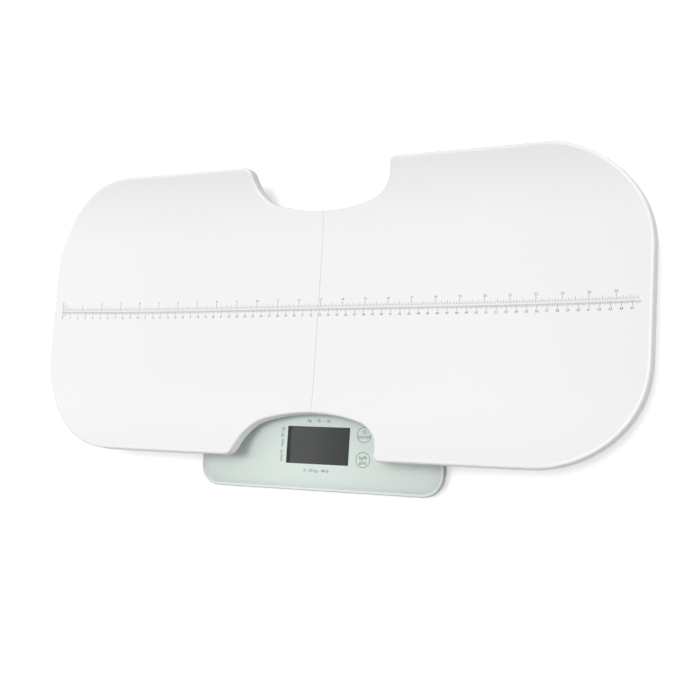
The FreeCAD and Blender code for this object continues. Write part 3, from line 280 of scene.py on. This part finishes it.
def grained(name, first, second, rough, grain, relief, specular=0.5, patch=14.0):
    """Moulded or printed finish: two close shades in patches, uneven gloss and a fine grain.

    Patch and grain are noise scales per metre, and relief is the depth of the grain in metres.
    """
    material, tree, shade = start_material(name)
    place = place_on(tree)
    fine = speckle(tree, place, grain, detail=4.0, roughness=0.6)
    shades = blended(tree, speckle(tree, place, patch), first, second)
    tree.links.new(shades, shade.inputs["Base Color"])
    tree.links.new(ranged(tree, fine, noise_spread, rough), shade.inputs["Roughness"])
    tree.links.new(bumps(tree, fine, relief), shade.inputs["Normal"])
    shade.inputs["Specular IOR Level"].default_value = specular
    return material


def mesh_from(name, shape):
    """A mesh with flat faces from a bmesh."""
    mesh = bpy.data.meshes.new(name)
    shape.to_mesh(mesh)
    shape.free()
    mesh.polygons.foreach_set("use_smooth", [False] * len(mesh.polygons))
    return mesh


def add_piece(name, mesh, material, body, slot, *replaced):
    """Put a finished mesh in the scene on its body, hiding the nodes it replaces; the slot is not
    used.
    """
    piece = bpy.data.objects.new(name, mesh)
    bpy.context.scene.collection.objects.link(piece)
    mesh.materials.append(material)
    if replaced:
        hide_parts(*replaced)
    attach(piece, body)


def rounded_corners(low, high, radius, steps=16):
    """Points round a rectangle with round corners, anticlockwise from the low x, low y corner."""
    points = []
    middles = ((low[0] + radius, low[1] + radius), (high[0] - radius, low[1] + radius),
               (high[0] - radius, high[1] - radius), (low[0] + radius, high[1] - radius))
    for quarter, (x, y) in enumerate(middles, start=2):
        for step in range(steps + 1):
            angle = (quarter + step / steps) * math.pi / 2
            points.append((x + radius * math.cos(angle), y + radius * math.sin(angle)))
    return points


def film(name, outside, inside, low, high):
    """A thin flat film between two closed outlines with the same number of points."""
    shape = bmesh.new()
    rings = [[shape.verts.new((x, y, z)) for x, y in outline]
             for outline, z in ((outside, high), (inside, high), (inside, low), (outside, low))]
    count = len(outside)
    for ring, following in zip(rings, rings[1:] + rings[:1]):
        for index in range(count):
            after = (index + 1) % count
            shape.faces.new((ring[index], ring[after], following[after], following[index]))
    return mesh_from(name, shape)


print_low, print_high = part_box("back_print")
print_corner = 0.019
print_gap = 0.00005
window_middle = Vector((-0.0020, -0.1213))
window_half = Vector((0.0363, 0.0193))
window_corner = 0.0003
outline_width = 0.0009
outline_corner = 0.0009

window_low = window_middle - window_half
window_high = window_middle + window_half
outline_margin = Vector((outline_width, outline_width))
print_outside = rounded_corners(print_low, print_high, print_corner)
outline_edge = rounded_corners(window_low - outline_margin, window_high + outline_margin,
                               outline_corner)
window_edge = rounded_corners(window_low, window_high, window_corner)
print_top = glass_low.z - print_gap
print_under = print_low.z

mint_enamel = grained("mint_enamel", (0.800, 0.831, 0.810), (0.820, 0.849, 0.830),
                      rough=(0.42, 0.5), grain=2600.0, relief=0.000004)
add_piece("mint_print", film("mint_print", print_outside, outline_edge, print_under, print_top),
          mint_enamel, "platform", "mint_print", "back_print")
white_line = grained("white_window_line", (0.80, 0.86, 0.83), (0.83, 0.885, 0.86),
                     rough=(0.4, 0.5), grain=2600.0, relief=0.000004)
add_piece("window_outline", film("window_outline", outline_edge, window_edge, print_under, print_top),
          white_line, "platform", "mint_print")


# ---------------------------------------------------------------- key marks
# Dark green marks printed between the glass and the enamel: a thin ring where the finger
# touches for each key, with a power sign over ON/OFF in the rear one and the units in the front
# one, and small words round the window.
def flat_ring(shape, x, y, radius, width, level, start=0.0, turn=2 * math.pi, steps=72):
    """An annulus or part of one, flat at a level."""
    pairs = []
    closed = turn >= 2 * math.pi
    for step in range(steps + (0 if closed else 1)):
        angle = start + turn * step / steps
        pairs.append([shape.verts.new((x + r * math.cos(angle), y + r * math.sin(angle), level))
                      for r in (radius + width / 2, radius - width / 2)])
    following = pairs[1:] + pairs[:1] if closed else pairs[1:]
    for (outer, inner), (next_outer, next_inner) in zip(pairs, following):
        shape.faces.new((outer, next_outer, next_inner, inner))


def corners_of(low_x, low_y, high_x, high_y):
    """The corners of a rectangle, anticlockwise."""
    return (low_x, low_y), (high_x, low_y), (high_x, high_y), (low_x, high_y)


def lettering(words, height, turn=0.0):
    """Filled outline of some words, centred on the origin and flat at zero."""
    capital_share = 0.7
    stroke_spread = 0.006
    writing = bpy.data.curves.new("lettering", "FONT")
    writing.body = words
    writing.size = height / capital_share
    writing.align_x = "CENTER"
    writing.resolution_u = 3
    writing.offset = height * stroke_spread
    holder = bpy.data.objects.new("lettering", writing)
    flat = bpy.data.meshes.new_from_object(holder)
    bpy.data.objects.remove(holder)
    bpy.data.curves.remove(writing)
    flat.transform(Matrix.Rotation(turn, 4, "Z") @ Matrix.Translation((0, -height / 2, 0)))
    return flat


def stamp(shape, words, height, x, y, level, turn=0.0):
    """Add flat lettering to a print."""
    flat = lettering(words, height, turn)
    flat.transform(Matrix.Translation((x, y, level)))
    shape.from_mesh(flat)
    bpy.data.meshes.remove(flat)


mark_gap = 0.000022
key_x = 0.0505
key_rear_y = -0.1087
key_front_y = -0.1339
key_radius = 0.00770
ring_line = 0.00050
sign_rise = 0.0029
sign_radius = 0.0017
sign_line = 0.00040
sign_bar = 0.0026
sign_start = math.radians(125)
sign_turn = math.radians(290)
switch_words = 0.0027
switch_drop = 0.0024
unit_words = 0.0034
unit_rise = 0.0024
unit_drop = 0.0026
capacity_words = 0.0032
words_off_window = 0.0064
words_off_window_side = 0.0060

mark_level = glass_low.z - mark_gap
sign_y = key_rear_y + sign_rise
marks = bmesh.new()
for key_y in (key_rear_y, key_front_y):
    flat_ring(marks, key_x, key_y, key_radius, ring_line, mark_level)
flat_ring(marks, key_x, sign_y, sign_radius, sign_line, mark_level, sign_start, sign_turn, steps=40)
marks.faces.new([marks.verts.new((x, y, mark_level)) for x, y in corners_of(
    key_x - sign_line / 2, sign_y, key_x + sign_line / 2, sign_y + sign_bar)])
stamp(marks, "ON/OFF", switch_words, key_x, key_rear_y - switch_drop, mark_level)
stamp(marks, "kg/lb", unit_words, key_x, key_front_y + unit_rise, mark_level)
stamp(marks, "g/oz", unit_words, key_x, key_front_y - unit_drop, mark_level)
stamp(marks, "kg  -  lb  -  oz", unit_words, window_middle.x, window_high.y + words_off_window,
      mark_level)
stamp(marks, "0 - 20 kg - 44 lb", capacity_words, window_middle.x, window_low.y - words_off_window,
      mark_level)
stamp(marks, "min 0   max 20 kg", unit_words, window_low.x - words_off_window_side,
      window_middle.y, mark_level, turn=math.pi / 2)
key_ink = grained("key_ink", (0.07, 0.11, 0.095), (0.10, 0.14, 0.125),
                  rough=(0.5, 0.6), grain=3000.0, relief=0.000003)
add_piece("key_marks", mesh_from("key_marks", marks), key_ink, "platform", "mint_print")


# ---------------------------------------------------------------- display
# Liquid-crystal cell: two thin glass plates with a dark polariser over most of the upper one.
# The lower plate runs on at the left as the ledge that carries the contacts. A black moulded
# frame holds it over a milky light guide, and striped rubber connects it to the board.
def chamfered_plate(name, low, high, chamfer):
    """A glass plate with all its edges chamfered."""
    shape = bmesh.new()
    made = bmesh.ops.create_cube(shape, size=1.0)
    bmesh.ops.transform(shape, verts=made["verts"], matrix=Matrix.Translation((low + high) / 2)
                        @ Matrix.Diagonal((*(high - low), 1)))
    bmesh.ops.bevel(shape, geom=list(shape.edges), offset=chamfer, segments=2, affect="EDGES",
                    profile=0.5)
    return mesh_from(name, shape)


panel_low, panel_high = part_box("display_panel")
ledge = 0.0062
plate_thickness = 0.0012
plate_gap = 0.00002
plate_chamfer = 0.0001
plate_top = panel_low.z + plate_thickness

lower_plate = chamfered_plate("display_lower_plate", panel_low,
                              Vector((panel_high.x, panel_high.y, plate_top)), plate_chamfer)
# The lower plate is coloured near black: painted shade, standing in for the shade in the recess at
# the left of the window, where the ledge shows.
painted_ledge_shade = grained("painted_ledge_shade", (0.003, 0.003, 0.003), (0.006, 0.006, 0.006),
                     rough=(0.5, 0.6), grain=1800.0, relief=0.000002, specular=0.1)
add_piece("display_lower_plate", lower_plate, painted_ledge_shade,
          "platform", "display_glass", "display_panel")
upper_plate = chamfered_plate("display_upper_plate",
                              Vector((panel_low.x + ledge, panel_low.y, plate_top + plate_gap)),
                              panel_high, plate_chamfer)
polariser = grained("dark_polariser", (0.008, 0.008, 0.009), (0.011, 0.011, 0.012),
                    rough=(0.14, 0.20), grain=1800.0, relief=0.000002, specular=0.75)
add_piece("display_upper_plate", upper_plate, polariser,
          "platform", "display_glass", "display_panel")

milky_acrylic = grained("milky_acrylic", (0.86, 0.86, 0.84), (0.90, 0.90, 0.88),
                        rough=(0.35, 0.45), grain=900.0, relief=0.00001)
finish_cad_node("display_backlight", milky_acrylic)
black_moulding = grained("black_moulding", (0.018, 0.018, 0.019), (0.028, 0.028, 0.029),
                         rough=(0.45, 0.6), grain=1400.0, relief=0.00002)
finish_cad_node("display_frame", black_moulding)

striped_rubber, stripe_tree, stripe_shade = start_material("striped_rubber")
stripes = stripe_tree.nodes.new("ShaderNodeTexWave")
stripes.bands_direction = "X"
stripes.inputs["Scale"].default_value = 320.0
stripe_tree.links.new(place_on(stripe_tree), stripes.inputs["Vector"])
stripe_colour = blended(stripe_tree, stripes.outputs["Fac"], (0.09, 0.09, 0.09), (0.48, 0.49, 0.50))
stripe_tree.links.new(stripe_colour, stripe_shade.inputs["Base Color"])
stripe_shade.inputs["Roughness"].default_value = 0.75
finish_cad_node("display_connectors", striped_rubber)


# ---------------------------------------------------------------- board
# Green glass-fibre board on four posts, with its controller, the plug-in sockets of the
# four leads, two foam key pads and four screws.
def bare_metal(name, first, second, rough, grain):
    """Plated sheet or wire: metal with fine drawn scratches and a little staining."""
    scratch_stretch = (0.06, 1.0, 1.0)
    scratch_depth = 0.00001
    stain_scale = 90.0
    material, tree, shade = start_material(name)
    shade.inputs["Metallic"].default_value = 1.0
    place = place_on(tree)
    stretch = tree.nodes.new("ShaderNodeMapping")
    stretch.inputs["Scale"].default_value = scratch_stretch
    tree.links.new(place, stretch.inputs["Vector"])
    drawn = speckle(tree, stretch.outputs["Vector"], grain, roughness=0.5)
    shades = blended(tree, speckle(tree, place, stain_scale), first, second)
    tree.links.new(shades, shade.inputs["Base Color"])
    tree.links.new(ranged(tree, drawn, noise_spread, rough), shade.inputs["Roughness"])
    tree.links.new(bumps(tree, drawn, scratch_depth), shade.inputs["Normal"])
    return material


board_green = grained("board_green", (0.018, 0.085, 0.045), (0.030, 0.125, 0.065),
                      rough=(0.28, 0.42), grain=700.0, relief=0.00004, patch=160.0)
finish_cad_node("main_board", board_green)
finish_cad_node("controller_chip", black_moulding)
cream_nylon = grained("cream_nylon", (0.74, 0.70, 0.58), (0.79, 0.75, 0.63),
                      rough=(0.45, 0.55), grain=900.0, relief=0.00002)
finish_cad_node("lead_sockets", cream_nylon)
dark_foam = grained("dark_foam", (0.02, 0.02, 0.02), (0.05, 0.05, 0.05),
                    rough=(0.85, 0.95), grain=1100.0, relief=0.00025, specular=0.2, patch=400.0)
finish_cad_node("touch_key_pads", dark_foam)
plated_steel = bare_metal("plated_steel", (0.60, 0.60, 0.58), (0.68, 0.67, 0.65),
                          rough=(0.25, 0.42), grain=2400.0)
finish_cad_node("board_screws", plated_steel)

# ---------------------------------------------------------------- electronics housing
# Shallow moulded box under the front of the glass, with a sliding battery door let into
# its floor and a foam seal between its rim and the print. The moulding has a fine
# spark-eroded grain.
white_moulding = grained("white_moulding", (0.80, 0.80, 0.79), (0.835, 0.835, 0.825),
                         rough=(0.42, 0.55), grain=1500.0, relief=0.00003)
finish_cad_node("electronics_housing", white_moulding)
finish_cad_node("battery_door", white_moulding)
finish_cad_node("housing_seal", dark_foam)

# ---------------------------------------------------------------- batteries
# Three slim cells side by side in the housing, each the other way round from the one before,
# between plated steel contacts. A plain dark plastic sleeve covers the can and leaves a ring
# of bare steel at the positive end.
bare_ring = 0.06
sleeve_lip = 0.002


def sleeved_cell(name, positive_end):
    """Finish of a cell whose positive end lies at 0 or at 1 of its length."""
    material, tree, shade = start_material(name)
    along = part_of(tree, place_on(tree, "Generated"), "X")
    sleeve_end = (abs(positive_end - bare_ring - sleeve_lip), abs(positive_end - bare_ring))
    bare = ranged(tree, along, sleeve_end)
    shades = blended(tree, bare, (0.045, 0.050, 0.055), (0.66, 0.65, 0.63))
    tree.links.new(shades, shade.inputs["Base Color"])
    tree.links.new(bare, shade.inputs["Metallic"])
    shade.inputs["Roughness"].default_value = 0.3
    return material


cell_to_right = sleeved_cell("cell_to_right", 1)
cell_to_left = sleeved_cell("cell_to_left", 0)
finish_cad_node("battery_1", cell_to_right)
finish_cad_node("battery_2", cell_to_left)
finish_cad_node("battery_3", cell_to_right)
finish_cad_node("battery_spring_contacts", plated_steel)
finish_cad_node("battery_plate_contacts", plated_steel)

# ---------------------------------------------------------------- feet
# At each corner a moulded cup glued to the glass holds a steel load cell by one screw; the
# foot under the cell stands on a plain rubber pad.
grey_rubber = grained("grey_rubber", (0.10, 0.105, 0.105), (0.14, 0.145, 0.145),
                      rough=(0.7, 0.85), grain=1200.0, relief=0.00008, specular=0.3, patch=120.0)
brushed_steel = bare_metal("brushed_steel", (0.52, 0.52, 0.50), (0.60, 0.60, 0.58),
                           rough=(0.3, 0.5), grain=1500.0)
for corner in ("front_left", "front_right", "rear_left", "rear_right"):
    finish_cad_node(f"foot_mount_{corner}", white_moulding)
    finish_cad_node(f"load_cell_{corner}", brushed_steel)
    finish_cad_node(f"foot_{corner}", white_moulding)
    finish_cad_node(f"foot_pad_{corner}", grey_rubber)
finish_cad_node("cell_screws", plated_steel)

# ---------------------------------------------------------------- leads
# A soft grey lead from each load cell; the two rear ones run forward in moulded channels
# glued to the glass.
grey_sheath = grained("grey_sheath", (0.34, 0.34, 0.34), (0.40, 0.40, 0.40),
                      rough=(0.5, 0.62), grain=1600.0, relief=0.00002, patch=90.0)
for side in ("left", "right"):
    finish_cad_node(f"lead_front_{side}", grey_sheath)
    finish_cad_node(f"lead_rear_{side}", grey_sheath)
    finish_cad_node(f"lead_cover_{side}", white_moulding)

# ---------------------------------------------------------------- tray
# Two like halves moulded in smooth white plastic with a rolled rim, ribbed below. They
# plug together at the seam and stand on four soft pads on the glass.
tray_white = grained("tray_white", (0.900, 0.900, 0.900), (0.915, 0.915, 0.915),
                     rough=(0.34, 0.42), grain=1900.0, relief=0.000006, patch=6.0)
pale_rubber = grained("pale_rubber", (0.60, 0.60, 0.59), (0.66, 0.66, 0.65),
                      rough=(0.65, 0.8), grain=1000.0, relief=0.00005, specular=0.3)
for hand in ("right", "left"):
    finish_cad_node(f"tray_half_{hand}", tray_white)
    finish_cad_node(f"tray_pads_{hand}", pale_rubber)

# ---------------------------------------------------------------- ruler
# Grey ink just behind the tray's middle line: inches to the rear, centimetres to the front,
# with a line across both at zero. It crosses the seam, so each half carries its own share.
ruler_middle_y = 0.0174
ruler_zero = -0.328
ruler_length = 0.657
rear_row = 0.0017
front_row = 0.0004
ink_lift = 0.00006
fine_line = 0.00030
heavy_line = 0.00038
zero_line_start = -0.0052
zero_line_length = 0.0118
numeral_height = 0.0024
inch_numerals_reach = 0.0079
centimetre_numerals_reach = 0.0069
name_height = 0.0014
inch_name = (0.0030, 0.0063)
centimetre_name = (0.0026, -0.0036)
inch = 0.0254
ticks_per_inch = 16
inch_tick_lengths = {16: 0.0060, 8: 0.0045, 4: 0.0034, 2: 0.0026, 1: 0.0017}
centimetre = 0.01
ticks_per_centimetre = 10
centimetre_tick_lengths = {10: 0.0050, 5: 0.0034, 1: 0.0023}


def tick_length(count, lengths):
    """Length of a tick from the largest step that divides its number."""
    for step, length in lengths.items():
        if count % step == 0:
            return length


class Ruler:
    """Ink laid on one half of the tray, following its surface."""

    def __init__(self, node, side):
        self.surface = BVHTree.FromObject(nodes[node], bpy.context.evaluated_depsgraph_get())
        self.side = side
        self.shape = bmesh.new()

    def owns(self, x):
        """Whether a place along the ruler is on this half."""
        return x * self.side > 0

    def level(self, x, y):
        """Height of the ink at a point of the tray."""
        well_above = 0.2
        hit = self.surface.ray_cast(Vector((x, y, well_above)), Vector((0, 0, -1)))[0]
        return hit.z + ink_lift

    def tick(self, x, start, length, width):
        """A line across the ruler from its start, to the front where its length is negative."""
        if self.owns(x):
            low, high = sorted((start, start + length))
            corners = corners_of(x - width / 2, ruler_middle_y + low,
                                 x + width / 2, ruler_middle_y + high)
            self.shape.faces.new([self.shape.verts.new((*corner, self.level(*corner)))
                                  for corner in corners])

    def words(self, text, height, x, y):
        """Lettering centred on a point, laid on the tray."""
        if self.owns(x):
            flat = lettering(text, height)
            for corner in flat.vertices:
                corner.co.x += x
                corner.co.y += ruler_middle_y + y
                corner.co.z = self.level(corner.co.x, corner.co.y)
            self.shape.from_mesh(flat)
            bpy.data.meshes.remove(flat)

    def scale(self, unit, divisions, tick_lengths, row, way, numerals_reach):
        """A row of ticks with a numeral at each whole unit; way is 1 to the rear, -1 to the front."""
        step = unit / divisions
        for count in range(int(ruler_length / step) + 1):
            x = ruler_zero + count * step
            whole, left_over = divmod(count, divisions)
            length = way * tick_length(count, tick_lengths)
            self.tick(x, row, length, fine_line if left_over else heavy_line)
            if not left_over:
                self.words(str(whole), numeral_height, x, row + way * numerals_reach)


ruler_ink = grained("ruler_ink", (0.10, 0.10, 0.10), (0.15, 0.15, 0.15),
                    rough=(0.5, 0.6), grain=3000.0, relief=0.000003)
for hand, side in (("right", 1), ("left", -1)):
    ruler = Ruler(f"tray_half_{hand}", side)
    ruler.scale(inch, ticks_per_inch, inch_tick_lengths, rear_row, 1, inch_numerals_reach)
    ruler.scale(centimetre, ticks_per_centimetre, centimetre_tick_lengths, front_row, -1,
                centimetre_numerals_reach)
    ruler.tick(ruler_zero, zero_line_start, zero_line_length, heavy_line)
    ruler.words("inch", name_height, ruler_zero + inch_name[0], inch_name[1])
    ruler.words("cm", name_height, ruler_zero + centimetre_name[0], centimetre_name[1])
    add_piece(f"ruler_print_{hand}", mesh_from(f"ruler_print_{hand}", ruler.shape), ruler_ink,
              f"tray_{hand}", "tray_plastic")
